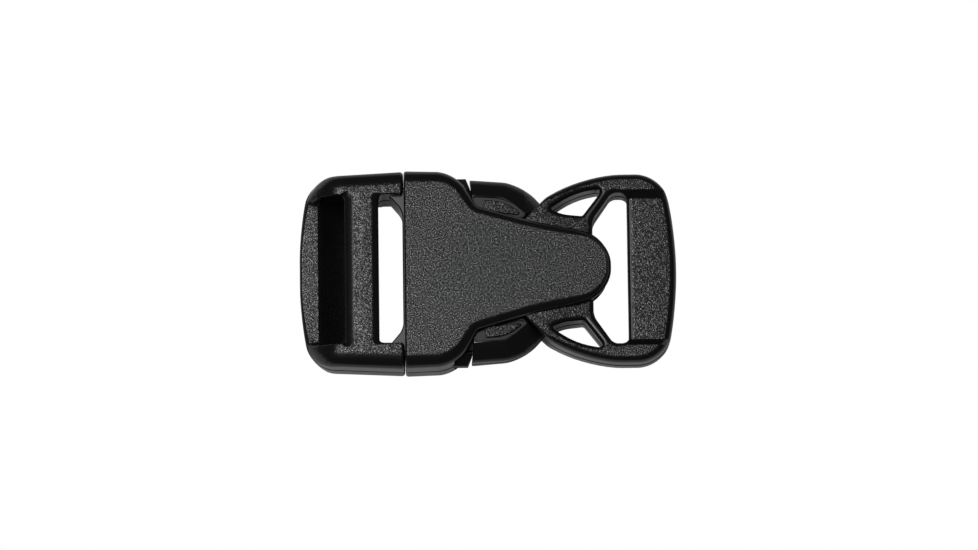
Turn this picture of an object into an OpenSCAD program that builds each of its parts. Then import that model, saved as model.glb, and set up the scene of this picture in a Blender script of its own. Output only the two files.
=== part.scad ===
// Side release buckle, fastened: a plug with two squeeze arms, latched in a socket.
// Sizes run along the buckle from the seam between the two mouldings: the socket's tail lies
// at +X, the plug's frame at -X. Heights are measured from the middle plane of both mouldings.

/* [Webbing] */
// Width of the webbing that both ends take
strap_w = 25; // [20:0.5:32]
// How much longer than the webbing is wide each slot is
strap_slack = 2; // [1:0.1:3]
// Width of the plug's inner slot along the buckle
plug_slot = 4.2; // [3.4:0.1:5.4]
// Width of the gap between the socket's plates and its webbing bar
tail_slot = 2.95; // [2.4:0.05:4]

/* [Overall] */
// Length of the socket from the seam to the end of its tail
socket_l = 47.6; // [44:0.1:54]
// Length of the plug's frame outside the socket
plug_l = 18.4; // [17:0.1:21]
// Thickness over the socket's two plates
body_h = 10.6; // [9.6:0.1:13]
// Width of the plug's side rail beside its slots
rail_w = 4.25; // [3.6:0.05:5.4]

/* [Socket] */
// Wall of the top and bottom plates
plate_t = 1.55; // [1.2:0.05:1.9]
// Wall at each side of the mouth
side_wall = 2.75; // [2.2:0.05:3.2]
// Width of the rounding along the sides of the mouth
side_round_w = 2.6; // [1.8:0.05:3]
// Height of the rounding along the sides of the mouth
side_round_h = 1.7; // [1:0.05:2.6]
// Width of the rounding along the narrow part of the plates
plate_round_w = 1.5; // [0.8:0.05:1.9]
// Height of the rounding along the narrow part of the plates
plate_round_h = 1.2; // [0.5:0.05:1.4]
// Width of the rounding at the tip of the plates
tip_round_w = 0.9; // [0.3:0.05:1.2]
// How far the tips of the plates reach past the tail's neck
lip_l = 3.15; // [2.4:0.05:3.8]
// Thickness of the lip that each plate ends in past the neck
lip_t = 1.5; // [1.2:0.05:2]
// Distance from the seam to the outer edge of each side wall's latch face
latch_at = 10.8; // [10:0.1:12.2]
// How far a latch face leans towards the tail on its inner side
latch_lean = 0.6; // [0:0.05:0.8]
// Height of the side walls' latch tabs at the mouth's inner side
tab_h = 7.0; // [5.6:0.1:7.2]
// Height of the latch tabs' outer edge, to which they slope
tab_edge_h = 1.0; // [0.6:0.1:3]
// How far the latch tabs lie inside the sides of the mouth
tab_inset = 0.95; // [0.8:0.05:1.5]

/* [Tail] */
// Thickness of the tail's rim
rim_h = 6.6; // [5.6:0.1:7.4]
// How far the tail's neck lies below the plates' faces
neck_step = 1.3; // [0.8:0.05:1.5]
// How much further the rim of the tail lies below its widest part
rim_step = 0.2; // [0:0.05:0.4]
// How far the tail's sides lie inside the sides of the mouth
tail_inset = 0.95; // [0.6:0.05:1.4]
// Distance from the tail's root to its widest part
shoulder_l = 7.1; // [6:0.1:8.4]
// Radius of the tail's curved end
tail_radius = 58; // [45:1:80]
// Width of the rounding around the tail
tail_round_w = 1.2; // [0.7:0.05:1.5]
// Height of the rounding around the tail
tail_round_h = 1.3; // [0.6:0.05:1.4]
// Width of the webbing bar along the buckle
tail_bar_w = 8.5; // [7:0.1:9.5]
// Thickness of the webbing bar
tail_bar_h = 3.6; // [3:0.1:4.6]
// Rounding of the webbing bar's long edges
bar_round = 1.0; // [0.6:0.05:1.3]
// How far the slope from the rim to the webbing bar reaches inside the slot's ends
rim_slope_in = 0.6; // [0.4:0.05:0.9]
// How far that slope reaches outside the slot's ends
rim_slope_out = 0.5; // [0.3:0.05:0.8]

/* [Plug] */
// How far the plug's frame lies below the socket's plates
frame_step = 0.5; // [0.2:0.05:0.8]
// Width of the centre bar along the buckle
centre_bar_w = 6.0; // [5:0.1:6.8]
// Depth of the centre bar
centre_bar_h = 4.6; // [3.6:0.1:5.2]
// Width of the end blade's top face
blade_w = 3.5; // [2.8:0.1:4.2]
// Height of the end blade's top face above the middle plane
blade_top = 0.75; // [0.5:0.05:1.2]
// Depth of the crossbar inside the mouth
crossbar_w = 2.9; // [2.4:0.1:3.6]
// Radius of the plug's curved end
nose_radius = 67; // [50:1:90]
// Width of each squeeze arm
arm_w = 2.5; // [2:0.1:3]
// Length of the thicker heel that joins each arm to its button
heel_l = 2.05; // [1.4:0.05:2.6]
// How far the buttons lie inside the sides of the mouth
button_inset = 1.35; // [1:0.05:1.8]
// Length of each squeeze button
button_l = 12.3; // [11.4:0.1:12.8]
// Height of a button's outer edge, to which its top and bottom slope
button_edge_h = 2.8; // [2:0.1:4]
// Length of the slanted edge of a button's tip along the buckle
button_slant = 3.55; // [2.8:0.05:4]
// Thickness of a button at its latch end
button_h = 7.2; // [6.4:0.1:7.2]
// Thickness of a button at its tip
button_tip_h = 6.0; // [5:0.1:6.4]
// Depth of the groove around the button's raised pad
groove_d = 0.4; // [0.3:0.05:0.8]
// Width of that groove
groove_w = 0.6; // [0.4:0.05:0.8]
// Distance from a button's latch end to the groove around its pad
field_front = 0.6; // [0.4:0.05:0.9]
// Distance from a button's latch end to its raised pad
pad_front = 2.3; // [1.8:0.1:3]
// Width of the guide tongue between the arms
tongue_w = 3.4; // [2.6:0.1:4]
// How far the guide tongue reaches past the latch faces
tongue_reach = 7.2; // [6:0.1:8]

/* [Fits] */
// Running gap between the plug and the inside of the socket
fit_gap = 0.15; // [0.1:0.01:0.25]
// Gap between the plug's frame and the mouth
seam_gap = 0.1; // [0.08:0.01:0.3]
// Gap between a button's shoulder and its latch tab
latch_gap = 0.25; // [0.15:0.05:0.7]
// Gap between a button's tip and the tail
tip_gap = 0.3; // [0.25:0.05:0.6]
// Gap between a button's heel and the inside of the side walls
heel_gap = 0.4; // [0.2:0.05:0.6]

/* [Hidden] */
plastic = [0.09, 0.09, 0.10];
// Largest turn between two points of a round stretch, and their largest distance
arc_step = 13;
point_step = 2.4;
// Steps across an edge rounding
edge_steps = 3;
// How far solids of one piece run into each other
bite = 0.7;
// How far cutting solids reach past what they cut
past = 1;
// How far a bar's end lies inside the curved edge that it meets
setback = 0.08;
// Most of an outline's side that its two corner radii may take
side_share = 0.94;
// Most of a slab's thickness that one edge rounding may take
round_share = 0.45;
// Steps along a bar that follows a curved end
bar_steps = 12;

slot_half = (strap_w + strap_slack) / 2;
body_half = slot_half + rail_w;
plate_z = body_h / 2;
inside_z = plate_z - plate_t;
inside_half = body_half - side_wall;

tail_bar_at = socket_l - tail_bar_w;
plate_l = tail_bar_at - tail_slot;
plate_half = body_half - side_round_w;
shoulder_at = 0.7446 * latch_at;
waist_at = 1.09 * latch_at;
side_end = 0.791 * latch_at;
tab_half = body_half - tab_inset;
button_at = latch_at + latch_lean + latch_gap;
button_tip = button_at + button_l;
button_half = body_half - button_inset;
// The tail's front edge crosses the height of a button's tip here
root_at = button_tip + tip_gap;
tail_half = body_half - tail_inset;
rim_z = rim_h / 2;
neck_z = plate_z - neck_step;
lip_z = plate_z - lip_t;
bar_z = tail_bar_h / 2;
slot_at = plate_l - lip_l;
// The rim comes down to the webbing bar between these distances from the centre line
rim_in = slot_half - rim_slope_in;
rim_out = slot_half + rim_slope_out;

frame_z = plate_z - frame_step;
// How far the crossbar reaches out of the mouth
crossbar_out = 0.3;
bar_right = -crossbar_out - plug_slot;
bar_left = bar_right - centre_bar_w;
crossbar_z = inside_z - fit_gap;
crossbar_half = inside_half - fit_gap;
arm_z = 0.8 * crossbar_z;
arm_half = 0.8 * button_half;
arm_root = 0.892 * crossbar_half;

// Flat face of a plate, half of it: along as a share of the plate, across as a share of half
// its width at the mouth, corner radius
//   along from the seam, across, radius
plate_rows = [
    [0, plate_half, 0],
    [shoulder_at, plate_half, 4.28],
    [waist_at, 0.649 * plate_half, 3],
    [0.71 * (plate_l - tip_round_w), 0.394 * plate_half, 80],
    [plate_l - tip_round_w, 0.305 * plate_half, 5.4],
    [plate_l - tip_round_w, 0, 0]
];
// Side walls of the tail: along, across, radius
tail_rows = [
    [root_at - 0.42 * shoulder_l, 0.53 * tail_half, 0],
    [root_at + 0.113 * shoulder_l, 0.756 * tail_half, 5],
    [root_at + shoulder_l, tail_half, 25],
    [socket_l - 0.24 * tail_bar_w, tail_half, 6],
    [socket_l, 0.349 * tail_half, tail_radius],
    [socket_l, 0, 0]
];
// Triangular opening in each shoulder of the tail: share of the way from the tail's root to
// its slot, share of half the tail's width, radius
window_rows = [
    [0.094, 0.619, 0.5],
    [0.627, 0.795, 12],
    [1.229, 0.857, 0.7],
    [0.84, 0.542, 0.6],
    [0.419, 0.563, 6]
];
// Side walls of the plug's frame from its end to the seam: along, across, radius
frame_rows = [
    [-plug_l, 0, 0],
    [-plug_l, 0.355 * body_half, nose_radius],
    [-0.902 * plug_l, 0.954 * body_half, 6.8],
    [-seam_gap, body_half, 0]
];
// Outline of the upper button: along, across, radius
button_rows = [
    [button_at, button_half, 0],
    [button_at + 0.671 * button_l, 0.957 * button_half, 11],
    [button_tip, 0.726 * button_half, 0.3],
    [button_tip - button_slant, 0.506 * button_half, 0.8],
    [button_at, 0.561 * button_half, 0]
];
// Outline of the flat on its top, inside the slope of its outer side: along, across, radius
crown_rows = [
    [button_at, 0.808 * button_half, 0],
    [button_at + 0.52 * button_l, 0.79 * button_half, 6],
    [button_at + 0.818 * button_l, 0.585 * button_half, 0.3],
    [button_tip - button_slant, 0.506 * button_half, 0.8],
    [button_at, 0.561 * button_half, 0]
];
// Outline inside the upper button's top, front from its latch end and rim inside the sunk
// field: along, across, radius
function field_rows(front, rim) = [
    [button_at + front, 0.79 * button_half - rim, 0.4],
    [button_at + 0.508 * button_l - 0.4 * rim, 0.771 * button_half - rim, 5.9],
    [button_at + 0.793 * button_l - 1.4 * rim, 0.585 * button_half + 0.5 * rim, 0.4],
    [button_at + 0.662 * button_l, 0.554 * button_half + rim, 0.2],
    [button_at + front, 0.604 * button_half + rim, 0.3]
];

function unit(v) = v / norm(v);
function left_of(v) = [-v[1], v[0]];
function cross_z(a, b) = a[0] * b[1] - a[1] * b[0];
function turned(v, a) = [v[0] * cos(a) - v[1] * sin(a), v[0] * sin(a) + v[1] * cos(a)];
function spot(row) = [row[0], row[1]];
// The axis direction nearest to v, so that an open outline ends in a plane
function squared(v) = abs(v[0]) > abs(v[1]) ? [sign(v[0]), 0] : [0, sign(v[1])];

// Signed turn of the outline at row i, and how much of each side its radius would take
function turn_at(rows, i, n) =
    let (a = unit(spot(rows[i]) - spot(rows[(i + n - 1) % n])),
         b = unit(spot(rows[(i + 1) % n]) - spot(rows[i])))
    atan2(cross_z(a, b), a * b);
function wish(rows, i, n, closed) =
    !closed && (i == 0 || i == n - 1) ? 0 : rows[i][2] * tan(abs(turn_at(rows, i, n)) / 2);
function share(rows, i, j, n, closed) =
    let (room = norm(spot(rows[i]) - spot(rows[j])),
         both = wish(rows, i, n, closed) + wish(rows, j, n, closed))
    both > side_share * room ? side_share * room / both : 1;

// Points of one rounded corner, each with the direction that faces out of the solid, which
// lies to the right of the outline
function corner(rows, i, n, closed) =
    let (here = spot(rows[i]),
         before = (i + n - 1) % n,
         after = (i + 1) % n,
         a = unit(here - spot(rows[before])),
         b = unit(spot(rows[after]) - here),
         turn = turn_at(rows, i, n),
         reach = wish(rows, i, n, closed)
             * min(share(rows, i, before, n, closed), share(rows, i, after, n, closed)),
         r = reach / tan(abs(turn) / 2),
         side = turn < 0 ? 1 : -1,
         centre = here - a * reach - left_of(a) * r * side,
         steps = max(1, ceil(max(abs(turn) / arc_step, abs(turn) * r * PI / 180 / point_step))))
    [for (j = [0:steps])
        let (out = turned(left_of(a), turn * j / steps), p = centre + out * r * side)
        [p[0], p[1], out[0], out[1]]];

// Rows [along, across, outward x, outward y] of an outline whose corners are rounded. An end
// row on the centre line only gives the direction in which the outline meets it.
function rounded(rows, closed = false) =
    let (n = len(rows),
         first = squared(left_of(unit(spot(rows[1]) - spot(rows[0])))),
         last = squared(left_of(unit(spot(rows[n - 1]) - spot(rows[n - 2])))))
    closed
        ? [for (i = [0:n - 1]) each corner(rows, i, n, true)]
        : concat(rows[0][1] > 0 ? [[rows[0][0], rows[0][1], first[0], first[1]]] : [],
                 [for (i = [1:n - 2]) each corner(rows, i, n, false)],
                 rows[n - 1][1] > 0 ? [[rows[n - 1][0], rows[n - 1][1], last[0], last[1]]] : []);

// The same rows with more points along straight stretches
function filled(rows) = concat(
    [for (i = [0:len(rows) - 2])
        let (m = max(1, ceil(norm(spot(rows[i + 1]) - spot(rows[i])) / point_step)))
        for (k = [0:m - 1]) rows[i] + (rows[i + 1] - rows[i]) * k / m],
    [rows[len(rows) - 1]]);
function plan(rows) = [for (p = rounded(rows, true)) spot(p)];
// An upper half outline, continued by its mirror image
function closed_below(points) =
    concat(points, [for (i = [len(points) - 1:-1:0]) [points[i][0], -points[i][1]]]);

// Half of a cross-section, from the top face round the edge and down to the bottom face.
// start is 0 where the rows give the flat face and 1 where they give the side wall.
function edge_section(p, top, bottom, edge_w, edge_h, start) =
    let (w = lookup(p[0], edge_w),
         h = min(lookup(p[0], edge_h), round_share * (top - bottom)))
    [for (end = [1, -1], k = [0:edge_steps])
        let (a = 90 * (end > 0 ? k : edge_steps - k) / edge_steps,
             shift = w * (sin(a) - start),
             drop = h * (1 - cos(a)))
        [p[0] + p[2] * shift, p[1] + p[3] * shift, end > 0 ? top - drop : bottom + drop]];
function both_sides(half) =
    concat(half, [for (i = [len(half) - 1:-1:0]) [half[i][0], -half[i][1], half[i][2]]]);

// Solid through a row of sections whose points run down one side and back up the other
module skin(sections, flip = false) {
    n = len(sections[0]);
    m = len(sections);
    sides = [for (i = [0:m - 2], k = [0:n - 1])
        let (a = i * n + k, b = i * n + (k + 1) % n)
        each [[a, b, b + n], [a, b + n, a + n]]];
    front = [for (k = [0:n / 2 - 2]) each [[k, n - 1 - k, n - 2 - k], [k, n - 2 - k, k + 1]]];
    base = (m - 1) * n;
    back = [for (f = front) [base + f[0], base + f[2], base + f[1]]];
    faces = concat(sides, front, back);
    polyhedron(
        points = [for (s = sections) each s],
        faces = flip ? [for (f = faces) [f[0], f[2], f[1]]] : faces);
}

// Slab with rounded edges whose outline is the same at both sides of the centre line
module even_slab(rows, top, bottom, edge_w, edge_h, start) {
    skin([for (p = filled(rounded(rows)))
        both_sides(edge_section(p, lookup(p[0], top), lookup(p[0], bottom),
                                edge_w, edge_h, start))]);
}

module flat(points, z0, z1) {
    translate([0, 0, z0])
        linear_extrude(z1 - z0)
            polygon(points);
}

module both_hands() {
    children();
    mirror([0, 1, 0]) children();
}

// Puts the buckle's middle over the origin and its lowest face on the ground
module placed() {
    translate([(plug_l - socket_l) / 2, 0, plate_z]) children();
}

// Hollow head of the socket: two plates joined by the side walls of the mouth
module socket_head() {
    edge_w = [[0, side_round_w], [shoulder_at, side_round_w], [waist_at, plate_round_w],
              [0.8 * plate_l, plate_round_w], [0.95 * plate_l, tip_round_w]];
    edge_h = [[0, side_round_h], [shoulder_at, side_round_h], [waist_at, plate_round_h]];
    hollow_end = root_at - bite;
    hollow = [[-past, inside_half], [side_end, inside_half], [side_end, body_half + past],
              [hollow_end, body_half + past]];
    under_lips = [[slot_at, body_half], [plate_l + past, body_half]];
    difference() {
        even_slab(plate_rows, [[0, plate_z]], [[0, -plate_z]], edge_w, edge_h, 0);
        flat(closed_below(hollow), -inside_z, inside_z);
        flat(closed_below(under_lips), -lip_z, lip_z);
    }
}

// Ends of the side walls, against which the buttons latch
module latch_tab() {
    back = 0.5 * latch_at;
    side = [[inside_half, tab_h / 2], [tab_half, tab_edge_h / 2]];
    intersection() {
        flat([[back, inside_half], [back, tab_half], [latch_at, tab_half],
              [latch_at + latch_lean, inside_half]], -tab_h / 2, tab_h / 2);
        rotate([90, 0, 90])
            linear_extrude(2 * latch_at)
                polygon(closed_below(side));
    }
}

// Rim, arms and shoulders of the tail, without its webbing bar
module tail_frame() {
    top = [[root_at, neck_z], [root_at + shoulder_l, rim_z + rim_step],
           [plate_l - 0.1 * lip_l, rim_z]];
    window = [for (r = window_rows)
        [root_at + r[0] * (slot_at - root_at), r[1] * tail_half, r[2]]];
    slot = rounded([
        [slot_at, 0, 0],
        [slot_at, 0.637 * slot_half, 3],
        [plate_l + 0.085 * tail_slot, slot_half, 1.6],
        [tail_bar_at + past, slot_half, 0]]);
    high = neck_z + past;
    slope = (rim_out - rim_in) / (rim_z - bar_z);
    wide = rim_in + slope * (high - bar_z);
    difference() {
        even_slab(tail_rows, top, [for (t = top) [t[0], -t[1]]],
                  [[0, tail_round_w]], [[0, tail_round_h]], 1);
        both_hands()
            flat(plan(window), -high, high);
        flat(closed_below([for (p = slot) spot(p)]), -high, high);
        translate([tail_bar_at, 0, 0])
            rotate([90, 0, 90])
                linear_extrude(tail_bar_w + past)
                    polygon([[-wide, high], [wide, high], [rim_in, bar_z], [rim_in, -bar_z],
                             [wide, -high], [-wide, -high], [-rim_in, -bar_z], [-rim_in, bar_z]]);
    }
}

// How far the curved end of a frame has come in at distance y from the centre line
function end_curve(y, radius) = radius - sqrt(radius * radius - y * y);

// Webbing bar across the tail, held at both ends in the rim
module tail_bar() {
    reach = rim_in + bite;
    skin([for (j = [0:bar_steps])
        let (y = reach * (2 * j / bar_steps - 1),
             left = tail_bar_at,
             right = socket_l - setback - end_curve(y, tail_radius),
             turns = [for (k = [0:edge_steps]) 90 * k / edge_steps],
             chain = [for (end = [1, -1], a = turns)
                 let (in = bar_round * (1 - sin(end > 0 ? 90 - a : a)),
                      down = bar_round * (1 - cos(end > 0 ? 90 - a : a)))
                 [end > 0 ? left + in : right - in, bar_z - down]])
        concat([for (c = chain) [c[0], y, c[1]]],
               [for (i = [len(chain) - 1:-1:0]) [chain[i][0], y, -chain[i][1]]])],
         flip = true);
}

module socket() {
    color(plastic) placed() {
        socket_head();
        both_hands() latch_tab();
        tail_frame();
        tail_bar();
    }
}

// Rails and nose of the plug's frame
module frame_rails() {
    top = [[-plug_l, blade_top], [-0.92 * plug_l, 1.33 * blade_top], [-0.83 * plug_l, 0.54 * frame_z],
           [-0.74 * plug_l, 0.81 * frame_z], [-0.67 * plug_l, 0.95 * frame_z],
           [-0.6 * plug_l, frame_z]];
    bottom = [[-plug_l, -0.1 * frame_z], [-0.93 * plug_l, -0.32 * frame_z],
              [-0.75 * plug_l, -0.93 * frame_z], [-0.68 * plug_l, -frame_z]];
    edge_w = [[-plug_l, 0.15 * side_round_w], [-0.87 * plug_l, 0.5 * side_round_w],
              [-0.65 * plug_l, side_round_w], [0, side_round_w]];
    difference() {
        even_slab(frame_rows, top, bottom, edge_w, [[0, side_round_h]], 1);
        translate([-plug_l - past, -slot_half, -frame_z - past])
            cube([plug_l + 2 * past, 2 * slot_half, 2 * (frame_z + past)]);
    }
}

// Bar over which the webbing runs, flush with the rails
module centre_bar() {
    // Corners as shares of the bar's width from its right side and of its depth from the top
    section = [[0, 0.26], [0.033, 0.11], [0.15, 0], [0.73, 0], [0.8, 0.043], [1, 0.35],
               [1, 0.7], [0.77, 1], [0.17, 1], [0, 0.78]];
    rotate([90, 0, 0])
        linear_extrude(2 * (slot_half + bite), center = true)
            polygon([for (s = section)
                [bar_right - s[0] * centre_bar_w, frame_z - s[1] * centre_bar_h]]);
}

// Slanted blade that closes the frame's end and leads the webbing under the centre bar
module end_blade() {
    reach = slot_half + bite;
    inner = -plug_l + blade_w;
    foot = -0.82 * frame_z;
    low = -0.92 * frame_z;
    skin([for (j = [0:bar_steps])
        let (y = reach * (2 * j / bar_steps - 1),
             outer = setback - plug_l + end_curve(y, nose_radius),
             upper = [[outer, 0.4 * blade_top], [outer + 0.1 * blade_w, blade_top],
                      [inner - 0.09 * blade_w, blade_top], [inner, 0.75 * blade_top],
                      [bar_left, foot]],
             lower = [[outer, -0.3 * blade_top], [outer + 0.15 * blade_w, -0.9 * blade_top],
                      [bar_left - 0.83 * blade_w, foot], [bar_left - 0.66 * blade_w, low],
                      [bar_left - 0.09 * blade_w, low]])
        concat([for (c = upper) [c[0], y, c[1]]],
               [for (i = [len(lower) - 1:-1:0]) [lower[i][0], y, lower[i][1]]])],
         flip = true);
}

// Crossbar in the mouth, whose gussets round the inner slot's far corners
module crossbar() {
    gusset_at = -0.54 * (crossbar_out - bar_right);
    upper = [[-crossbar_out, 0.79 * slot_half], [gusset_at, slot_half],
             [gusset_at, slot_half + bite], [-crossbar_out, slot_half + bite],
             [-crossbar_out, crossbar_half], [crossbar_w - crossbar_out, crossbar_half]];
    flat(closed_below(upper), -crossbar_z, crossbar_z);
}

// Springy arm from the crossbar to a button
module arm() {
    start = 0.5 * (crossbar_w - crossbar_out);
    end = button_at + bite;
    heel_half = inside_half - heel_gap;
    flat([[start, arm_root - arm_w], [start, arm_root], [button_at - 2 * heel_l, arm_half],
          [button_at - heel_l, heel_half], [end, heel_half], [end, arm_half - arm_w]],
         -arm_z, arm_z);
}

// Squeeze button with a raised pad inside a groove on its top and bottom
module button() {
    floor_z = button_tip_h / 2 - groove_d;
    difference() {
        intersection() {
            hull() {
                flat(plan(button_rows), -button_edge_h / 2, button_edge_h / 2);
                flat(plan(crown_rows), -button_h / 2, button_h / 2);
            }
            rotate([90, 0, 0])
                linear_extrude(4 * body_half, center = true)
                    polygon(closed_below([[button_at - past, button_h / 2],
                                          [button_at, button_h / 2],
                                          [button_tip + past, button_tip_h / 2]]));
        }
        for (z = [floor_z, -floor_z - button_h])
            translate([0, 0, z])
                linear_extrude(button_h)
                    difference() {
                        polygon(plan(field_rows(field_front, 0)));
                        polygon(plan(field_rows(pad_front, groove_w)));
                    }
    }
}

// Tongue between the arms that keeps the plug straight in the socket
module tongue() {
    half = tongue_w / 2;
    start = 0.5 * (crossbar_w - crossbar_out);
    end = latch_at + tongue_reach;
    flat(closed_below([[start, half], [end - 0.5 * half, half], [end, 0.5 * half]]),
         -arm_z, arm_z);
}

module plug() {
    color(plastic) placed() {
        frame_rails();
        centre_bar();
        end_blade();
        crossbar();
        tongue();
        both_hands() {
            arm();
            button();
        }
    }
}

plug();
socket();
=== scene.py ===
"""Looks of the fastened side release buckle, built around its packed plug and socket."""
import math

import bmesh
import bpy
from mathutils import Matrix, Vector


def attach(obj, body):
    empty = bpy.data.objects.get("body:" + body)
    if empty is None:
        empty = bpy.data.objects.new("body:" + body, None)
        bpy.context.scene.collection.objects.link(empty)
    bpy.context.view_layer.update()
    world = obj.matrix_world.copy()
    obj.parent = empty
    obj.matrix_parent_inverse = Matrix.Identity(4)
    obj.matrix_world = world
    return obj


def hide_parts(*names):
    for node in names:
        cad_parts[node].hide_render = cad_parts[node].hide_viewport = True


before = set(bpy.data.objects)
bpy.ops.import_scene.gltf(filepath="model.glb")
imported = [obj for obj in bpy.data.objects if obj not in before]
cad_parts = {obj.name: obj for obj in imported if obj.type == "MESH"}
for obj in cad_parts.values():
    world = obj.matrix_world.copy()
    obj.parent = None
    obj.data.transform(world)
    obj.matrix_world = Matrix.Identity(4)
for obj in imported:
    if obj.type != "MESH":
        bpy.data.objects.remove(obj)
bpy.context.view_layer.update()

# Sizes in mm as in the part's source: along from the seam, across and up from the middle
MM = 0.001
SEAM_AT = 14.6
MIDDLE_Z = 5.3
PLATE_Z = 5.3
INSIDE_Z = 3.75
INSIDE_HALF = 15.0
BODY_HALF = 17.75
SIDE_END = 8.54
ROOT_AT = 24.05
SLOT_HALF = 13.5
SLOT_AT = 33.0
TAIL_BAR_AT = 39.1
SOCKET_END = 47.6
BAR_Z = 1.8
RIM_Z = 3.3
FRAME_Z = 4.8
PLUG_END = -18.4
BAR_RIGHT = -4.5
BAR_LEFT = -10.5
CROSSBAR_Z = 3.6
CROSSBAR_HALF = 14.85
BUTTON_AT = 11.8
BUTTON_TIP = 24.1
END_RADIUS = 58.0
LIP_Z = 3.82

# Largest turn and distance between two points of a rounded corner
TURN_STEP = math.radians(6)
POINT_STEP = 1.6
# Most of an outline's side that its two corners may take
SIDE_SHARE = 0.94
# Rings across an edge rounding
RINGS = 5
# An edge left square
PLAIN = (0.0, 0.0, 90)
# Half height and depth of the parting line's groove
PARTING_H = 0.34
PARTING_IN = 0.3
# Length below which two points are one, in mm
NEAR = 1e-4
# Turn below which two faces are one flat, and over which an edge is drawn sharp
FLAT_TURN = math.radians(0.2)
SHARP_TURN = math.radians(32)
# Most of a wall's height that one edge rounding may take
ROUND_SHARE = 0.45
# Turns at which the rim of a rounded end is cut, in degrees
END_TURNS = (0, 22, 42, 58, 70, 80)


def at(rows, u):
    """The value that rows of (along, value) give at u."""
    if u <= rows[0][0]:
        return rows[0][1]
    for (u0, a), (u1, b) in zip(rows, rows[1:]):
        if u <= u1:
            return a + (b - a) * (u - u0) / (u1 - u0)
    return rows[-1][1]


def smooth(x, low, high):
    """0 below low, 1 above high, and a soft step between them."""
    t = max(0.0, min(1.0, (x - low) / (high - low)))
    return t * t * (3 - 2 * t)


def outline(bm, rows):
    """Closed outline through rows of (along, across, corner radius). Gives its vertices in order,
    the solid on their left."""
    n = len(rows)
    spots = [Vector((r[0], r[1])) for r in rows]
    sides = [(spots[(i + 1) % n] - spots[i]) for i in range(n)]
    turns = [abs(sides[i - 1].angle_signed(sides[i])) for i in range(n)]
    wish = [rows[i][2] * math.tan(turns[i] / 2) for i in range(n)]

    def share(i, j, side):
        both = wish[i] + wish[j]
        room = SIDE_SHARE * side.length
        return room / both if both > room else 1

    corners = [bm.verts.new((s.x, s.y, 0)) for s in spots]
    before = set(bm.faces)
    bm.faces.new(corners)
    for i in range(n):
        if wish[i] < NEAR:
            continue
        reach = wish[i] * min(share(i - 1, i, sides[i - 1]), share(i, (i + 1) % n, sides[i]))
        radius = reach / math.tan(turns[i] / 2)
        steps = max(1, math.ceil(turns[i] / TURN_STEP), math.ceil(turns[i] * radius / POINT_STEP))
        bmesh.ops.bevel(bm, geom=[corners[i]], offset=reach, offset_type="OFFSET", segments=steps,
                        profile=0.5, affect="VERTICES", material=-1, clamp_overlap=False)
    face = (set(bm.faces) - before).pop()
    if sum_area(face) < 0:
        face.normal_flip()
    ring = [loop.vert for loop in face.loops]
    bmesh.ops.delete(bm, geom=[face], context="FACES_ONLY")
    return ring


def sum_area(face):
    """Twice the signed area of a flat face seen from above."""
    co = [loop.vert.co for loop in face.loops]
    return sum(a.x * b.y - b.x * a.y for a, b in zip(co, co[1:] + co[:1]))


def edges_of(ring):
    """Edges of a closed ring of vertices, in its order."""
    found = []
    for a, b in zip(ring, ring[1:] + ring[:1]):
        found.append(next(e for e in a.link_edges if e.other_vert(a) is b))
    return found


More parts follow.
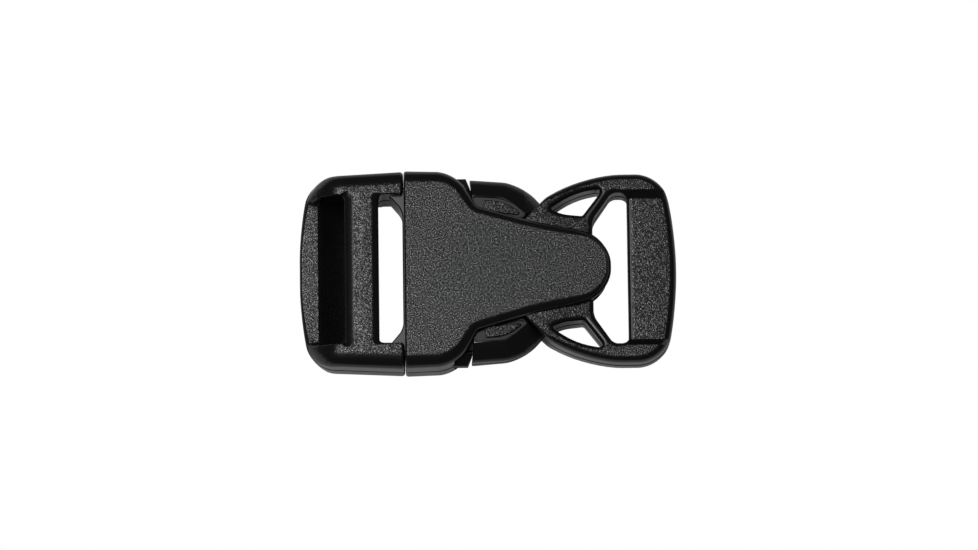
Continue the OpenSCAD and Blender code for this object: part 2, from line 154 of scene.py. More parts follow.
class Slab:
    """Half or quarter of a moulded slab. Its heights are levels until settle() gives them: 0 the
    foot, 1 the top of the wall, 2 the flat face."""

    def __init__(self):
        self.bm = bmesh.new()
        self.home = self.bm.verts.layers.float_vector.new("home")
        self.move = self.bm.verts.layers.float_vector.new("move")
        self.tall = self.bm.verts.layers.float.new("tall")
        self.foot = self.bm.verts.layers.float.new("foot")
        self.arc = self.bm.verts.layers.float.new("arc")
        self.tops = []
        self.feet = []

    def wall(self, rows, edge, hole=False, from_flat=False, foot=0.0, parting=True):
        """Raises a wall with a rounded top edge on an outline. edge(along, across, outward) gives
        an edge's rounding as (width, height, turn in degrees). Gives its edges at foot and top."""
        bm = self.bm
        ring = outline(bm, rows)
        n = len(ring)
        edges = edges_of(ring)
        outs = []
        for i in range(n):
            a, b = ring[i].co, ring[(i + 1) % n].co
            d = (b - a).normalized()
            outs.append(Vector((-d.y, d.x)) if hole else Vector((d.y, -d.x)))
        sizes = []
        for i in range(n):
            middle = (ring[i].co + ring[(i + 1) % n].co) / 2
            sizes.append(edge(middle.x, middle.y, outs[i]))
        for i, v in enumerate(ring):
            (w0, h0, a0), (w1, h1, a1) = sizes[i - 1], sizes[i]
            n0, n1 = outs[i - 1], outs[i]
            if n0.dot(n1) > 0.9:
                if w0 > NEAR and w1 > NEAR:
                    w0, h0, a0 = w1, h1, a1 = edge(v.co.x, v.co.y, (n0 + n1).normalized())
                w = 0.0 if min(w0, w1) < NEAR else (w0 + w1) / 2
                move = -(n0 + n1) * w / (1 + n0.dot(n1))
            else:
                cross = n0.x * n1.y - n0.y * n1.x
                move = Vector(((-w0 * n1.y + w1 * n0.y) / cross, (-w1 * n0.x + w0 * n1.x) / cross))
            v[self.home] = v.co
            v[self.move] = (move.x, move.y, 0)
            v[self.tall] = max(h0, h1)
            v[self.foot] = foot
            v[self.arc] = math.radians(a0 if h0 > h1 else a1)
        inward = [-(outs[i - 1] + outs[i]).normalized() for i in range(n)]
        start = -1.0 if from_flat else 0.0
        for v in ring:
            v.co = v[self.home] + v[self.move] * start
        if parting:
            edges_up = self.lift(edges, 0.5, start, None)
            for v, d in zip(ring, inward):
                held = abs(v.co.y) < NEAR
                v.co += Vector((d.x * PARTING_IN, 0 if held else d.y * PARTING_IN, 0))
        else:
            edges_up = edges
        edges_up = self.lift(edges_up, 1.0, start, None)
        for k in range(1, RINGS + 1):
            edges_up = self.lift(edges_up, None, start, k / RINGS)
        self.tops += edges_up
        self.feet += edges
        return edges, edges_up

    def lift(self, edges, level, start, turn):
        """Pulls edges up: straight to a level, or round the edge by a share of its turn."""
        made = bmesh.ops.extrude_edge_only(self.bm, edges=edges)["geom"]
        verts = {g for g in made if isinstance(g, bmesh.types.BMVert)}
        for v in verts:
            shift, height = start, level
            if turn is not None:
                full = v[self.arc]
                shift += (1 - math.cos(full * turn)) / (1 - math.cos(full))
                height = 1 + math.sin(full * turn) / math.sin(full)
            v.co = v[self.home] + v[self.move] * shift
            v.co.z = height
        return [g for g in made if isinstance(g, bmesh.types.BMEdge) and set(g.verts) <= verts]

    def fill(self, edges):
        """Closes the flat between loops of edges."""
        bmesh.ops.triangle_fill(self.bm, use_beauty=True, edges=edges, normal=(0, 0, 1))

    def settle(self, top, bottom=None, stations=(), rows=(), sides=True):
        """Cuts the slab where its faces change slope, gives every vertex its height, and mirrors
        the slab to its other half and, with sides, to its other hand."""
        bm = self.bm
        cuts = [((u, 0, 0), (1, 0, 0)) for u in stations] + [((0, y, 0), (0, 1, 0)) for y in rows]
        for place, across in cuts:
            bmesh.ops.bisect_plane(bm, geom=bm.verts[:] + bm.edges[:] + bm.faces[:], dist=NEAR,
                                   plane_co=place, plane_no=across)
        inner = [f for f in bm.faces if all(abs(v.co.y) < NEAR for v in f.verts)]
        bmesh.ops.delete(bm, geom=inner, context="FACES_ONLY")
        loose = [e for e in bm.edges if not e.link_faces]
        bmesh.ops.delete(bm, geom=loose, context="EDGES")
        if bottom:
            mirror(bm, "Z")
        for v in bm.verts:
            under = v.co.z < -NEAR
            level = abs(v.co.z)
            high = top(v.co.x, v.co.y)
            low = bottom(v.co.x, v.co.y) if bottom else -high
            face = low if under else high
            room = high - low
            middle = 0 if low < -PARTING_H else (high + low) / 2
            tall = min(v[self.tall], ROUND_SHARE * room)
            if level >= 1 - NEAR:
                drop = tall * (2 - level)
                v.co.z = face + drop if under else face - drop
            elif v[self.foot] < 0:
                v.co.z = high + v[self.foot]
            else:
                rise = 2 * level * PARTING_H
                v.co.z = middle + (-rise if under else rise)
        if not bottom:
            mirror(bm, "Z")
        if sides:
            mirror(bm, "Y")
        tidy_shell(bm)
        return bm


def mirror(bm, axis):
    """Adds a shape's mirror image to it."""
    bmesh.ops.mirror(bm, geom=bm.verts[:] + bm.edges[:] + bm.faces[:], matrix=Matrix.Identity(4),
                     merge_dist=NEAR, axis=axis)


def tidy_shell(bm, unit=1.0, flats=False):
    """Merges doubles and makes the faces agree. unit is a millimetre in the mesh's own
    lengths, and flats also joins the faces that a cut left split in one plane."""
    bmesh.ops.remove_doubles(bm, verts=bm.verts[:], dist=NEAR * unit)
    bmesh.ops.dissolve_degenerate(bm, edges=bm.edges[:], dist=NEAR * unit)
    if flats:
        bmesh.ops.dissolve_limit(bm, angle_limit=FLAT_TURN, verts=bm.verts[:], edges=bm.edges[:])
    bmesh.ops.recalc_face_normals(bm, faces=bm.faces[:])


def soften(bm, picked, width, steps=2):
    """Rounds the picked edges."""
    bmesh.ops.bevel(bm, geom=picked, offset=width, offset_type="OFFSET", segments=steps, profile=0.5,
                    affect="EDGES", material=-1, clamp_overlap=True)


def corners_of(bm, least=50):
    """Edges at which two faces meet at more than the given angle, in degrees."""
    return [e for e in bm.edges if len(e.link_faces) == 2 and e.calc_face_angle(0) > math.radians(least)]


def round_end(bm, end, radius, middle_y, half_y, half_z):
    """Rounds the rim of a flat end towards which the shape narrows; a negative radius rounds a
    left end. Its section reaches half_y and half_z from its middle."""
    reach = abs(radius)
    for turn in END_TURNS:
        place = end - radius * (1 - math.sin(math.radians(turn)))
        bmesh.ops.bisect_plane(bm, geom=bm.verts[:] + bm.edges[:] + bm.faces[:], dist=NEAR,
                               plane_no=(1, 0, 0), plane_co=(place, 0, 0))
    for v in bm.verts:
        into = (v.co.x - end) / radius + 1
        if into > 0:
            drop = reach * (1 - math.sqrt(max(0.0, 1 - into * into)))
            side = math.copysign(1, v.co.y)
            v.co.y = side * (middle_y + (abs(v.co.y) - middle_y) * (1 - drop / half_y))
            v.co.z *= 1 - drop / half_z


def bar_along_y(rows, half, stations=1):
    """Prism across the buckle on a section of (along, up, corner radius)."""
    bm = bmesh.new()
    ring = outline(bm, rows)
    face = bm.faces.new(ring)
    bmesh.ops.rotate(bm, verts=bm.verts[:], matrix=Matrix.Rotation(math.pi / 2, 3, "X"), cent=(0, 0, 0))
    bmesh.ops.translate(bm, verts=bm.verts[:], vec=(0, -half, 0))
    skin = [face]
    for k in range(stations):
        made = bmesh.ops.extrude_face_region(bm, geom=skin, use_keep_orig=(k == 0))["geom"]
        skin = [g for g in made if isinstance(g, bmesh.types.BMFace)]
        moved = [g for g in made if isinstance(g, bmesh.types.BMVert)]
        bmesh.ops.translate(bm, verts=moved, vec=(0, 2 * half / stations, 0))
    tidy_shell(bm)
    return bm


def to_object(bm, name):
    """Puts a shape drawn in mm from the seam in its place in the row frame."""
    # faces that agree can still all point inwards, and turning them here moves no corner
    if bm.calc_volume(signed=True) < 0:
        bmesh.ops.reverse_faces(bm, faces=bm.faces[:])
    bmesh.ops.transform(bm, verts=bm.verts[:],
                        matrix=Matrix.Scale(MM, 4) @ Matrix.Translation((-SEAM_AT, 0, MIDDLE_Z)))
    mesh = bpy.data.meshes.new(name)
    bm.to_mesh(mesh)
    bm.free()
    obj = bpy.data.objects.new(name, mesh)
    bpy.context.scene.collection.objects.link(obj)
    return obj


def boolean(obj, tool, operation):
    """Cuts or joins obj with a tool, which is then removed."""
    step = obj.modifiers.new("step", "BOOLEAN")
    step.operation = operation
    step.solver = "EXACT"
    step.object = tool
    bpy.context.view_layer.update()
    made = bpy.data.meshes.new_from_object(obj.evaluated_get(bpy.context.evaluated_depsgraph_get()))
    obj.modifiers.clear()
    obj.data = made
    made.name = obj.name
    bpy.data.objects.remove(tool)


# ---- materials ----

PLASTIC_BLACK = (0.006, 0.006, 0.0063, 1)
# Scales of the grain's bumps, pits, glints and of the clouds in the sheen, to the metre
BUMP_SCALE = 4200
PIT_SCALE = 5200
GLINT_SCALE = 5000
CLOUD_SCALE = 260
# Height of the grain in metres, and how strongly it tilts the surface
GRAIN_HEIGHT = 0.00006
GRAIN_STRENGTH = 0.5
# Part of the glint pattern in use, how much its few brightest grains stand out, and the least
# and most reflection of a grain against 0.5 on the bare plastic
GLINT_FROM, GLINT_TO = 0.42, 0.68
GLINT_POWER = 1.8
GLINT_LEAST, GLINT_MOST = 0.18, 1.85
BARE_LEVEL = 0.5
# Roughness of the bare plastic, which varies in clouds, and of the grain
SHEEN_LEAST, SHEEN_MOST = 0.20, 0.28
GRAIN_ROUGHNESS = 0.27


def moulded_plastic(name):
    """Black acetal: satin, with a fine spark-eroded grain on the flats, where the mask says so."""
    mat = bpy.data.materials.new(name)
    mat.use_nodes = True
    nodes, links = mat.node_tree.nodes, mat.node_tree.links
    shader = nodes["Principled BSDF"]
    shader.inputs["Base Color"].default_value = PLASTIC_BLACK
    place = nodes.new("ShaderNodeTexCoord")
    mask = nodes.new("ShaderNodeAttribute")
    mask.attribute_name = "grain"

    fine = nodes.new("ShaderNodeTexNoise")
    fine.inputs["Scale"].default_value = BUMP_SCALE
    fine.inputs["Detail"].default_value = 1.5
    fine.inputs["Roughness"].default_value = 0.6
    links.new(place.outputs["Object"], fine.inputs["Vector"])
    pits = nodes.new("ShaderNodeTexVoronoi")
    pits.inputs["Scale"].default_value = PIT_SCALE
    links.new(place.outputs["Object"], pits.inputs["Vector"])
    both = nodes.new("ShaderNodeMath")
    both.operation = "ADD"
    links.new(fine.outputs["Fac"], both.inputs[0])
    links.new(pits.outputs["Distance"], both.inputs[1])
    height = nodes.new("ShaderNodeMath")
    height.operation = "MULTIPLY"
    links.new(both.outputs[0], height.inputs[0])
    links.new(mask.outputs["Fac"], height.inputs[1])
    bump = nodes.new("ShaderNodeBump")
    bump.inputs["Strength"].default_value = GRAIN_STRENGTH
    bump.inputs["Distance"].default_value = GRAIN_HEIGHT
    links.new(height.outputs[0], bump.inputs["Height"])
    links.new(bump.outputs["Normal"], shader.inputs["Normal"])

    glint = nodes.new("ShaderNodeTexNoise")
    glint.inputs["Scale"].default_value = GLINT_SCALE
    glint.inputs["Detail"].default_value = 1
    links.new(place.outputs["Object"], glint.inputs["Vector"])
    spread = nodes.new("ShaderNodeMapRange")
    spread.inputs["From Min"].default_value = GLINT_FROM
    spread.inputs["From Max"].default_value = GLINT_TO
    links.new(glint.outputs["Fac"], spread.inputs["Value"])
    sharp = nodes.new("ShaderNodeMath")
    sharp.operation = "POWER"
    sharp.inputs[1].default_value = GLINT_POWER
    links.new(spread.outputs["Result"], sharp.inputs[0])
    shine = nodes.new("ShaderNodeMapRange")
    shine.inputs["To Min"].default_value = GLINT_LEAST
    shine.inputs["To Max"].default_value = GLINT_MOST
    links.new(sharp.outputs[0], shine.inputs["Value"])
    level = nodes.new("ShaderNodeMapRange")
    level.inputs["To Min"].default_value = BARE_LEVEL
    links.new(mask.outputs["Fac"], level.inputs["Value"])
    links.new(shine.outputs["Result"], level.inputs["To Max"])
    links.new(level.outputs["Result"], shader.inputs["Specular IOR Level"])

    cloud = nodes.new("ShaderNodeTexNoise")
    cloud.inputs["Scale"].default_value = CLOUD_SCALE
    cloud.inputs["Detail"].default_value = 3
    links.new(place.outputs["Object"], cloud.inputs["Vector"])
    sheen = nodes.new("ShaderNodeMapRange")
    sheen.inputs["To Min"].default_value = SHEEN_LEAST
    sheen.inputs["To Max"].default_value = SHEEN_MOST
    links.new(cloud.outputs["Fac"], sheen.inputs["Value"])
    rough = nodes.new("ShaderNodeMapRange")
    rough.inputs["To Max"].default_value = GRAIN_ROUGHNESS
    links.new(mask.outputs["Fac"], rough.inputs["Value"])
    links.new(sheen.outputs["Result"], rough.inputs["To Min"])
    links.new(rough.outputs["Result"], shader.inputs["Roughness"])
    return mat


plug_plastic = moulded_plastic("plug_acetal")
socket_plastic = moulded_plastic("socket_acetal")


def plain(u, y, z):
    """No grain anywhere."""
    return 0


def near_top(z, top):
    """Grain on a face at height top, fading out where its edge begins to round."""
    return 1 - smooth(top - abs(z), 0.0, 0.12)


def dress(obj, node, grained):
    """Gives a piece its grain mask, its finish, its normals and its place on the part."""
    bm = bmesh.new()
    bm.from_mesh(obj.data)
    for name in ("tall", "foot", "arc"):
        if name in bm.verts.layers.float:
            bm.verts.layers.float.remove(bm.verts.layers.float[name])
    for name in ("home", "move"):
        if name in bm.verts.layers.float_vector:
            bm.verts.layers.float_vector.remove(bm.verts.layers.float_vector[name])
    mask = bm.verts.layers.float.new("grain")
    for v in bm.verts:
        u, y, z = v.co / MM + Vector((SEAM_AT, 0, -MIDDLE_Z))
        v[mask] = float(grained(u, y, z))
    bm.to_mesh(obj.data)
    bm.free()
    for face in obj.data.polygons:
        face.use_smooth = True
    obj.data.set_sharp_from_angle(angle=SHARP_TURN)
    obj.data.materials.clear()
    obj.data.materials.append(plug_plastic if node == "plug" else socket_plastic)
    normals = obj.modifiers.new("even_flats", "WEIGHTED_NORMAL")
    normals.keep_sharp = True
    normals.weight = 60
    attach(obj, "root")
    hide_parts(node)
    return obj


# ---- socket ----

def socket_head():
    """Two plates joined by the side walls of the mouth."""
    rows = [(0, 0, 0), (0, 15.15, 0), (8.04, 15.15, 4.28), (11.77, 9.83, 3), (25.05, 5.97, 80),
            (35.25, 4.62, 5.4), (35.25, 0, 0)]
    wide = [(0, 2.6), (4.5, 2.6), (6.5, 2.3), (8.0, 2.1), (11.77, 1.5), (28.9, 1.5), (34.3, 0.9)]
    high = [(0, 2.1), (5.0, 2.1), (8.04, 1.8), (11.77, 1.3), (30, 1.3), (34, 1.5)]
    turn = [(0, 72), (8, 72), (12, 60), (30, 60), (33.5, 52)]

    def edge(u, y, out):
        if abs(y) < NEAR or u < NEAR:
            return PLAIN
        return at(wide, u), at(high, u), at(turn, u)

    slab = Slab()
    slab.wall(rows, edge, from_flat=True)
    slab.fill(slab.tops)
    bm = slab.settle(lambda u, y: PLATE_Z)
    # The lower plate's nose is a little smaller than the upper one's
    for v in bm.verts:
        if v.co.z < 0:
            share = smooth(v.co.x, 30.0, 34.0)
            v.co.x -= 0.6 * share
            v.co.y *= 1 - 0.15 * share
    round_end(bm, 0, -0.45, 0, BODY_HALF, PLATE_Z)
    head = to_object(bm, "socket_head")

    bm = bmesh.new()
    hollow = outline(bm, [(-1, -INSIDE_HALF, 0), (SIDE_END, -INSIDE_HALF, 0), (SIDE_END, -BODY_HALF - 1, 0),
                          (ROOT_AT - 0.4, -BODY_HALF - 1, 0), (ROOT_AT - 0.4, BODY_HALF + 1, 0),
                          (SIDE_END, BODY_HALF + 1, 0), (SIDE_END, INSIDE_HALF, 0), (-1, INSIDE_HALF, 0)])
    floor_face = bm.faces.new(hollow)
    made = bmesh.ops.extrude_face_region(bm, geom=[floor_face], use_keep_orig=True)["geom"]
    top = [g for g in made if isinstance(g, bmesh.types.BMVert)]
    bmesh.ops.translate(bm, verts=top, vec=(0, 0, 2 * INSIDE_Z))
    bmesh.ops.translate(bm, verts=bm.verts[:], vec=(0, 0, -INSIDE_Z))
    under_nose = bmesh.ops.create_cube(bm, size=1)["verts"]
    bmesh.ops.scale(bm, vec=(5, 14, 2 * LIP_Z), verts=under_nose)
    bmesh.ops.translate(bm, vec=(SLOT_AT + 2.5, 0, 0), verts=under_nose)
    tidy_shell(bm)
    boolean(head, to_object(bm, "hollow"), "DIFFERENCE")

    bm = bmesh.new()
    bm.from_mesh(head.data)
    tidy_shell(bm, MM, flats=True)
    under = [e for e in corners_of(bm) if all(abs(abs(v.co.z - MIDDLE_Z * MM) - INSIDE_Z * MM) < 1e-6
             for v in e.verts) and max(v.co.x for v in e.verts) > (SIDE_END - SEAM_AT + 0.2) * MM]
    soften(bm, under, 0.15 * MM, 2)
    lips = [e for e in corners_of(bm) if all(abs(abs(v.co.z - MIDDLE_Z * MM) - LIP_Z * MM) < 1e-6
            for v in e.verts) and max(v.co.x for v in e.verts) > (SLOT_AT - SEAM_AT + 0.2) * MM]
    soften(bm, lips, 0.12 * MM, 2)
    bm.to_mesh(head.data)
    bm.free()
    return dress(head, "socket", lambda u, y, z: near_top(z, PLATE_Z))


def latch_tabs():
    """Ends of the side walls, against which the buttons latch."""
    rows = [(5.5, 14.7, 0), (11.62, 14.7, 0), (10.9, 16.9, 0.15), (5.5, 16.9, 0)]
    slab = Slab()
    slab.wall(rows, lambda u, y, out: (0.25, 0.25, 90))
    slab.fill(slab.tops)
    bm = slab.settle(lambda u, y: 2.25 - 0.7 * (y - 14.7))
    return dress(to_object(bm, "latch_tabs"), "socket", plain)


TAIL_SLOPE = [(24.0, 4.0), (31.05, 3.5), (35.8, RIM_Z)]
# The rim comes down to the webbing bar between these distances across, and these along
RIM_FOOT, RIM_EDGE = 12.65, 14.0
BLEND_FROM, BLEND_TO = 38.2, 39.7


def tail_top(u, y):
    """Height of the tail's face: neck, rim and, between its hands, the lower webbing bar."""
    high = at(TAIL_SLOPE, u)
    across = max(0.0, min(1.0, (abs(y) - RIM_FOOT) / (RIM_EDGE - RIM_FOOT)))
    sunk = (1 - across) * smooth(u, BLEND_FROM, BLEND_TO)
    return high + (BAR_Z - high) * sunk


def tail():
    """Shoulders, arms and rim of the tail, with the webbing bar between them."""
    rows = [(21.25, 0, 0), (SLOT_AT, 0, 0), (SLOT_AT, 8.6, 3), (36.4, SLOT_HALF, 1.6),
            (TAIL_BAR_AT, SLOT_HALF, 1.2), (TAIL_BAR_AT, 0, 0), (SOCKET_END, 0, 0),
            (SOCKET_END, 5.86, END_RADIUS), (45.62, 16.93, 6), (31.35, 16.93, 25), (25.05, 12.8, 5),
            (21.25, 9.0, 0)]

    def edge(u, y, out):
        if abs(y) < NEAR or u < 21.25 + NEAR:
            return PLAIN
        if out.x < -0.3 and u > 37:
            share = smooth(-out.x, 0.3, 0.9)
            return 0.8 + 0.3 * share, 0.8 - 0.1 * share, 90
        if out.x > 0.3 and u < 37 or out.y < -0.05 and y < 13.6:
            return 0.8, 0.8, 90
        width = 0.35 + 0.85 * smooth(u, 23.6, 26.5)
        return width, width * 1.1, 90

    window = [(25.4, 10.6, 0.5), (29.85, 13.4, 12), (35.2, 14.5, 0.7), (31.25, 9.35, 0.6), (27.92, 9.65, 6)]
    slab = Slab()
    slab.wall(rows, edge)
    slab.wall(window, lambda u, y, out: (0.75, 0.75, 90), hole=True)
    slab.fill(slab.tops)
    bm = slab.settle(tail_top, stations=(24.0, 31.05, 35.8, 38.2, 38.5, 38.8, 39.1, 39.4, 39.7),
                     rows=(RIM_FOOT, 13.1, 13.55, RIM_EDGE))

    def grained(u, y, z):
        if RIM_FOOT + 0.05 < abs(y) < RIM_EDGE - 0.05 and u > BLEND_FROM + 0.1:
            return 0
        spoke = abs((u - 32.2) * 0.83 - (abs(y) - 8.9) * 0.56)
        bare = smooth(spoke, 1.2, 1.9) if 8.9 < abs(y) < RIM_EDGE + 0.05 else 1
        return near_top(z, tail_top(u, y)) * bare

    return dress(to_object(bm, "tail"), "socket", grained)


# ---- plug ----

# Heights of the frame's faces along the buckle: the rails come down to the nose
RAIL_TOP = [(-18.4, 0.7), (-17.4, 0.74), (-16.6, 1.35), (-15.9, 2.05), (-15.2, 2.7), (-14.5, 3.3),
            (-13.8, 3.8), (-13.1, 4.2), (-12.4, 4.52), (-11.7, 4.72), (-11.0, 4.8)]
RAIL_BOTTOM = [(-18.4, -0.48), (-17.11, -1.54), (-13.8, -4.46), (-12.51, -4.8)]
BLADE_TOP = 0.75
BLADE_EDGE = -14.9
BAR_BOTTOM = 0.2
NOSE_RADIUS = 67.0
INNER_HALF = 13.3


def frame_top(u, y):
    """Height of the frame's upper face: rails, centre bar and the low face of the end blade."""
    rail = at(RAIL_TOP, u)
    if u > BLADE_EDGE + 1:
        return rail
    return BLADE_TOP + (rail - BLADE_TOP) * smooth(abs(y), 12.2, INNER_HALF + 0.1)


def frame_bottom(u, y):
    """Height of the frame's lower face; the centre bar is only half as deep as the rails."""
    rail = at(RAIL_BOTTOM, u)
    if u < BAR_LEFT - 1:
        return rail
    return BAR_BOTTOM + (rail - BAR_BOTTOM) * smooth(abs(y), 12.5, INNER_HALF - 0.1)


def plug_frame():
    """Rails, nose and centre bar of the plug's frame."""
    rows = [(BAR_LEFT, 0, 0), (BAR_LEFT, INNER_HALF, 0.9), (BLADE_EDGE, INNER_HALF, 0.5), (BLADE_EDGE, 0, 0),
            (PLUG_END, 0, 0), (PLUG_END, 7.4, NOSE_RADIUS), (-16.6, 16.93, 6.8), (-0.1, BODY_HALF, 0),
            (-0.1, INNER_HALF, 0), (BAR_RIGHT, INNER_HALF, 0.9), (BAR_RIGHT, 0, 0)]
    wide = [(-18.4, 0.4), (-16.6, 0.9), (-15.0, 1.7), (-11.96, 2.6), (0, 2.75)]

    def edge(u, y, out):
        if out.x > 0.9 and u > -1 or abs(y) < NEAR:
            return PLAIN
        if u > BLADE_EDGE - 0.5 and y < INNER_HALF + NEAR:
            if u < BLADE_EDGE + 1:
                return 0.35, 0.35, 90
            flank = smooth(abs(out.x), 0.3, 0.9) * (1.5 if u < -7.5 else 0.95)
            return 0.3 + flank, 0.3 + 0.5 * flank, 90 - 28 * flank
        return at(wide, u), 2.0, 76

    slab = Slab()
    slab.wall(rows, edge)
    slab.fill(slab.tops)
    stations = [u for u, z in RAIL_TOP[1:]] + [u for u, z in RAIL_BOTTOM[1:]] + [-10.4, -12.0]
    bm = slab.settle(frame_top, frame_bottom, stations=stations, rows=(12.2, 12.5, 12.7, 12.9, 13.1, 13.4))
    round_end(bm, -0.1, 0.6, 15.6, 2.15, FRAME_Z)

    def grained(u, y, z):
        if u < BLADE_EDGE + 0.1:
            return abs(z - BLADE_TOP) < 0.02 and abs(y) < 12.4
        if z < 0:
            return near_top(z, FRAME_Z)
        return near_top(z, frame_top(u, y)) * smooth(u, -13.2, -10.4)

    return dress(to_object(bm, "plug_frame"), "plug", grained)


def end_blade():
    """Slanted blade that leads the webbing under the centre bar."""
    foot = -3.94
    rows = [(BLADE_EDGE - 2.2, 0.3, 0.1), (BLADE_EDGE - 0.2, BLADE_TOP - 0.05, 0.1),
            (BLADE_EDGE + 0.25, 0.45, 0.3), (BAR_LEFT, foot, 0), (BAR_LEFT - 0.3, foot - 0.5, 0.4),
            (BAR_LEFT - 2.6, foot - 0.45, 0.8), (PLUG_END + 1.6, -0.9, 0.5)]
    return dress(to_object(bar_along_y(rows, INNER_HALF + 0.2), "end_blade"), "plug", plain)


def crossbar():
    """Crossbar in the mouth, whose gussets round the inner slot's far corners."""
    rows = [(2.6, 0, 0), (2.6, CROSSBAR_HALF, 0.6), (-0.3, CROSSBAR_HALF, 0), (-0.3, 14.2, 0),
            (-2.6, 14.2, 0), (-2.6, 13.35, 0), (-0.3, 10.6, 3.0), (-0.3, 0, 0)]

    def edge(u, y, out):
        if abs(y) < NEAR or y > 13.6 and u < 0:
            return PLAIN
        return 0.3, 0.3, 90

    slab = Slab()
    slab.wall(rows, edge, parting=False)
    slab.fill(slab.tops)
    return dress(to_object(slab.settle(lambda u, y: CROSSBAR_Z), "crossbar"), "plug", plain)


def squeeze_arms():
    """Springy arms from the crossbar to the buttons."""
    rows = [(0.5, 10.75, 0), (12.2, 10.42, 0), (12.2, 14.6, 0), (9.6, 14.6, 0.8), (7.0, 13.2, 3),
            (0.5, 13.25, 0)]
    slab = Slab()
    slab.wall(rows, lambda u, y, out: (0.4, 0.4, 90))
    slab.fill(slab.tops)
    bm = slab.settle(lambda u, y: 2.88 - 0.25 * (y - 10.4))
    return dress(to_object(bm, "squeeze_arms"), "plug", plain)


def field_rows(front, rim):
    """Outline inside a button's top, front from its latch end and rim inside the sunk field."""
    return [(BUTTON_AT + front, 13.0 - rim, 0.4), (17.9 - 0.4 * rim, 12.7 - rim, 5.9),
            (21.4 - 1.4 * rim, 9.7 + 0.5 * rim, 0.3), (19.79, 9.09 + rim, 0.2),
            (BUTTON_AT + front, 9.9 + rim, 0.3)]


def buttons():
    """Squeeze buttons, each with a raised pad inside a groove."""
    rows = [(BUTTON_AT, 14.8, 0), (BUTTON_AT - 0.25, 16.45, 0), (20.6, 15.85, 8.5), (BUTTON_TIP, 12.0, 0),
            (20.4, 8.3, 0.8), (BUTTON_AT, 9.2, 0)]
    slope = [(BUTTON_AT - 0.25, 3.4), (BUTTON_AT + 0.25, 3.6), (21.2, 3.15), (BUTTON_TIP, 2.45)]
    wide = [(12, 3.15), (16, 3.0), (18.7, 3.05), (21, 3.4), (23.0, 3.45)]
    field_edge = [(12.3, 13.0), (17.9, 12.7), (21.4, 9.7), (24, 7.5)]
    groove = 0.4

    def edge(u, y, out):
        if out.x < -0.9:
            return PLAIN
        share = smooth(out.y, -0.65, 0.65) if out.x > 0.2 else smooth(out.y, -0.1, 0.6)
        return 0.3 + (at(wide, u) - 0.3) * share, 0.3 + 1.3 * share, 60

    def top(u, y):
        return at(slope, u) - 0.22 * max(0.0, y - at(field_edge, u) - 0.02)

    slab = Slab()
    outer, outer_top = slab.wall(rows, edge)
    field, field_top = slab.wall(field_rows(0.4, 0), lambda u, y, out: (0.08, 0.12, 90), hole=True,
                                 foot=-groove, parting=False)
    pad, pad_top = slab.wall(field_rows(2.15, 0.6), lambda u, y, out: (0.15, 0.2, 90),
                             foot=-groove, parting=False)
    slab.fill(outer_top + field_top)
    slab.fill(field + pad)
    slab.fill(pad_top)
    bm = slab.settle(top, stations=(BUTTON_AT + 0.25, 21.2, 22.0, 22.8))
    picked = [e for e in corners_of(bm) if all(v.co.x < BUTTON_AT + NEAR for v in e.verts)]
    soften(bm, picked, 0.2, 3)

    def grained(u, y, z):
        return abs(z) > at(slope, u) - 0.01 and inside_pad(u, abs(y))

    return dress(to_object(bm, "squeeze_buttons"), "plug", grained)


def inside_pad(u, y):
    """Whether a point of a button's face lies on its raised pad."""
    rows = field_rows(2.05, 0.5)
    hits = 0
    for (u0, y0, _), (u1, y1, _) in zip(rows, rows[1:] + rows[:1]):
        if (y0 > y) != (y1 > y) and u < u0 + (u1 - u0) * (y - y0) / (y1 - y0):
            hits += 1
    return hits % 2 == 1


def guide_tongue():
    """Tongue between the arms that guides the plug into the mouth."""
    rows = [(0.5, 0, 0), (18, 0, 0), (18, 0.8, 0.2), (17, 1.7, 0.4), (0.5, 1.7, 0)]
    slab = Slab()
    slab.wall(rows, lambda u, y, out: PLAIN if abs(y) < NEAR else (0.25, 0.25, 90))
    # one flat face, since the rounding is wider than the tip's corner radius and triangles turn over
    bmesh.ops.edgeloop_fill(slab.bm, edges=slab.tops)
    return dress(to_object(slab.settle(lambda u, y: 2.88), "guide_tongue"), "plug", plain)


socket_head()
latch_tabs()
tail()
plug_frame()
end_blade()
crossbar()
squeeze_arms()
buttons()
guide_tongue()


# ---- studio ----

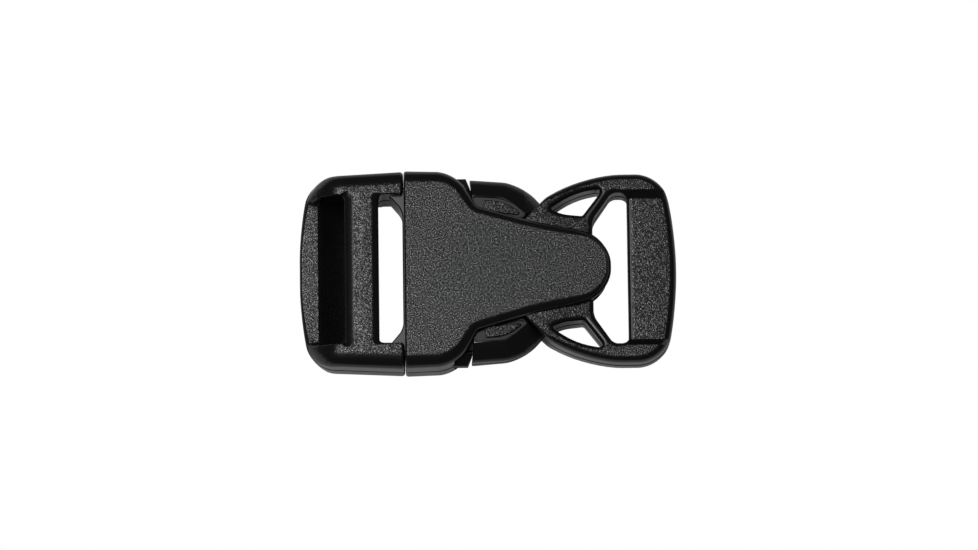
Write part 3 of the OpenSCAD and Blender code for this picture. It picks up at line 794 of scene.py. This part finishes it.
def studio():
    """White paper floor, a large soft lamp overhead and a small one at the near left."""
    floor_mesh = bpy.data.meshes.new("floor")
    bm = bmesh.new()
    bmesh.ops.create_grid(bm, x_segments=1, y_segments=1, size=1.5)
    bm.to_mesh(floor_mesh)
    bm.free()
    floor = bpy.data.objects.new("floor", floor_mesh)
    bpy.context.scene.collection.objects.link(floor)
    paper = bpy.data.materials.new("paper")
    paper.use_nodes = True
    nodes, links = paper.node_tree.nodes, paper.node_tree.links
    shader = nodes["Principled BSDF"]
    shader.inputs["Base Color"].default_value = (0.9, 0.9, 0.9, 1)
    shader.inputs["Roughness"].default_value = 0.9
    shader.inputs["Specular IOR Level"].default_value = 0.0
    shader.inputs["Emission Color"].default_value = (1, 1, 1, 1)
    shader.inputs["Emission Strength"].default_value = 0.1
    bright = nodes.new("ShaderNodeEmission")
    bright.inputs["Strength"].default_value = 1.0
    seen = nodes.new("ShaderNodeLightPath")
    both = nodes.new("ShaderNodeMixShader")
    links.new(seen.outputs["Is Camera Ray"], both.inputs["Fac"])
    links.new(shader.outputs["BSDF"], both.inputs[1])
    links.new(bright.outputs["Emission"], both.inputs[2])
    links.new(both.outputs["Shader"], nodes["Material Output"].inputs["Surface"])
    floor_mesh.materials.append(paper)

    def lamp(name, place, size, radiance, aim=(0, 0, 0)):
        data = bpy.data.lights.new(name, "AREA")
        data.shape = "RECTANGLE"
        data.size, data.size_y = size
        data.energy = radiance * 4 * size[0] * size[1]
        obj = bpy.data.objects.new(name, data)
        obj.location = place
        obj.rotation_mode = "QUATERNION"
        obj.rotation_quaternion = (Vector(aim) - Vector(place)).to_track_quat("-Z", "Y")
        bpy.context.scene.collection.objects.link(obj)

    lamp("overhead", (-0.125, 0.065, 0.45), (0.33, 0.27), 2.3)
    lamp("corner", (-0.13, -0.08, 0.45), (0.1, 0.1), 7)
    world = bpy.data.worlds.new("studio")
    bpy.context.scene.world = world
    world.use_nodes = True
    world.node_tree.nodes["Background"].inputs["Color"].default_value = (1, 1, 1, 1)
    world.node_tree.nodes["Background"].inputs["Strength"].default_value = 0.05
    bpy.context.scene.view_settings.view_transform = "Standard"


# The camera's height over the horizon and its roll, in degrees, its distance in metres and its lens in mm
CAMERA_LIFT = 76.8
CAMERA_ROLL = -0.75
CAMERA_AWAY = 1.4
LENS = 293.8
# How far the picture's middle lies from the buckle's, to the right and down, in metres
AIM_RIGHT, AIM_DOWN = 0.000175, 0.00035


def camera():
    """Looks down on the buckle from the photograph's side."""
    data = bpy.data.cameras.new("camera")
    data.sensor_width = 36
    data.lens = LENS
    data.clip_start = 0.05
    data.clip_end = 10
    obj = bpy.data.objects.new("camera", data)
    bpy.context.scene.collection.objects.link(obj)
    lift = math.radians(CAMERA_LIFT)
    back = Vector((0, -math.cos(lift), math.sin(lift)))
    up = Vector((0, math.sin(lift), math.cos(lift)))
    aim = Vector((AIM_RIGHT, 0, MIDDLE_Z * MM)) - up * AIM_DOWN
    obj.location = aim + back * CAMERA_AWAY
    turn = (-back).to_track_quat("-Z", "Y")
    roll = Matrix.Rotation(math.radians(CAMERA_ROLL), 3, "Z").to_quaternion()
    obj.rotation_mode = "QUATERNION"
    obj.rotation_quaternion = turn @ roll
    bpy.context.scene.camera = obj


studio()
camera()
bpy.context.view_layer.update()
